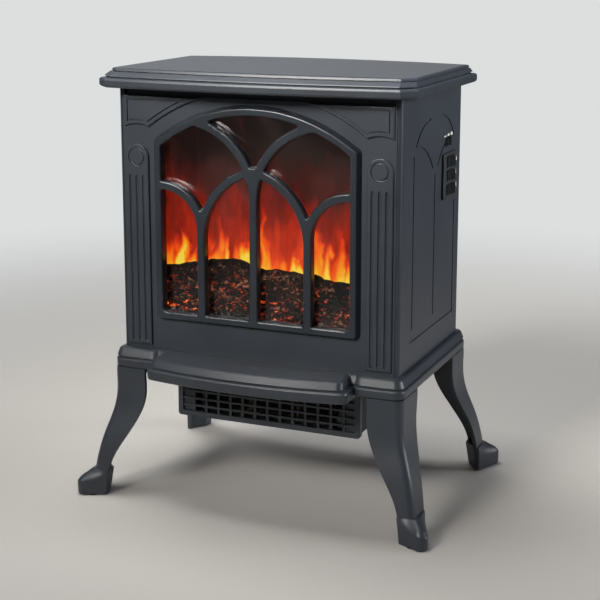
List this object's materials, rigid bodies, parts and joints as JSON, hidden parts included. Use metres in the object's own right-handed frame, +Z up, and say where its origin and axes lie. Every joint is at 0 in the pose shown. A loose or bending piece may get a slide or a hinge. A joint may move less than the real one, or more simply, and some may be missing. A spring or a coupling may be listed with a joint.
{
  "type": "electric fireplace",
  "caption": "Free-standing electric stove heater with an arched tracery window, log bed, side switches, fan outlet and splayed paw legs.",
  "frame": {"origin": "on the floor under the middle of the four feet", "axes": "+Z up, +X to the right seen from the front, +Y towards the back, so the window faces -Y"},
  "size_m": [0.4718, 0.3355, 0.5473],
  "materials": {
    "painted_shell": "anthracite satin paint on moulded shells",
    "painted_sheet": "anthracite satin paint on sheet steel",
    "zinc_sheet": "zinc plated sheet steel",
    "black_sheet": "matt black heat resistant paint",
    "bright_sheet": "plain bright steel",
    "window_glass": "clear tempered glass",
    "spring_steel": "spring steel",
    "screw_steel": "blackened screws",
    "pad_rubber": "soft black rubber",
    "black_plastic": "fine textured moulding",
    "grille_plastic": "moulded in the body colour",
    "switch_plastic": "glossy black moulding",
    "diffuser_plastic": "translucent diffuser",
    "log_plastic": "translucent moulding painted as logs and embers",
    "circuit_board": "solder mask",
    "lamp_plastic": "clear amber",
    "flag_foil": "bright foil",
    "bearing_bronze": "sintered bronze",
    "motor_steel": "laminated steel",
    "wheel_aluminium": "plain aluminium",
    "shaft_steel": "ground steel",
    "coil_brass": "enamelled copper winding",
    "mica_board": "mica board",
    "element_steel": "resistance wire",
    "white_plastic": "plain moulding"
  },
  "bodies": {
    "casing": {"top_slab": "painted_shell", "base_plinth": "painted_shell", "front_panel": "painted_shell", "window_frame": "painted_shell", "leg_front_left": "painted_shell", "leg_front_right": "painted_shell", "leg_rear_left": "painted_shell", "leg_rear_right": "painted_shell", "side_panel_left": "painted_sheet", "side_panel_right": "painted_sheet", "rear_cover": "painted_sheet", "top_plate": "zinc_sheet", "base_pan": "zinc_sheet", "firebox_floor": "black_sheet", "firebox_liner": "black_sheet", "back_reflector": "bright_sheet", "window_glass": "window_glass", "glass_clips": "spring_steel", "clip_screws": "screw_steel", "base_screws": "screw_steel", "leg_screws": "screw_steel", "rear_screws": "screw_steel", "slab_screws": "screw_steel", "foot_pads": "pad_rubber", "cord_gland": "black_plastic", "flame_screen": "diffuser_plastic", "log_bed": "log_plastic", "ember_led_board": "circuit_board", "flame_led_board": "circuit_board", "led_lamps": "lamp_plastic", "spindle_brackets": "zinc_sheet", "spindle_bush": "bearing_bronze", "spindle_motor": "motor_steel", "outlet_grille": "grille_plastic", "heater_housing": "black_sheet", "blower_bush": "bearing_bronze", "motor_stator": "motor_steel", "motor_coil": "coil_brass", "element_frame": "mica_board", "heating_wires": "element_steel", "thermal_cutout": "white_plastic", "control_bezel": "black_plastic", "switch_bodies": "black_plastic", "thermostat_body": "white_plastic", "terminal_block": "white_plastic"},
    "blower": {"blower_wheel": "wheel_aluminium", "blower_shaft": "shaft_steel", "motor_rotor": "motor_steel"},
    "flame_effect": {"flame_spindle": "black_plastic", "spindle_flags": "flag_foil"},
    "thermostat": {"thermostat_wheel": "switch_plastic", "thermostat_spindle": "shaft_steel"},
    "rocker_flame": {"rocker_flame": "switch_plastic"},
    "rocker_low": {"rocker_low": "switch_plastic"},
    "rocker_high": {"rocker_high": "switch_plastic"}
  },
  "joints": [
    {"name": "blower_spin", "type": "hinge", "parent": "casing", "child": "blower", "pos_m": [0, 0.01, 0.145], "axis": [1, 0, 0], "continuous": true},
    {"name": "flame_spin", "type": "hinge", "parent": "casing", "child": "flame_effect", "pos_m": [0, -0.025, 0.263], "axis": [1, 0, 0], "continuous": true},
    {"name": "thermostat_turn", "type": "hinge", "parent": "casing", "child": "thermostat", "pos_m": [0.1715, 0.063, 0.451], "axis": [0, 0, 1], "range_deg": [0, 270]},
    {"name": "flame_switch", "type": "hinge", "parent": "casing", "child": "rocker_flame", "pos_m": [0.181, 0.063, 0.4265], "axis": [0, 0, 1], "range_deg": [0, 16]},
    {"name": "low_heat_switch", "type": "hinge", "parent": "casing", "child": "rocker_low", "pos_m": [0.181, 0.063, 0.409], "axis": [0, 0, 1], "range_deg": [0, 16]},
    {"name": "high_heat_switch", "type": "hinge", "parent": "casing", "child": "rocker_high", "pos_m": [0.181, 0.063, 0.3915], "axis": [0, 0, 1], "range_deg": [0, 16]}
  ]
}
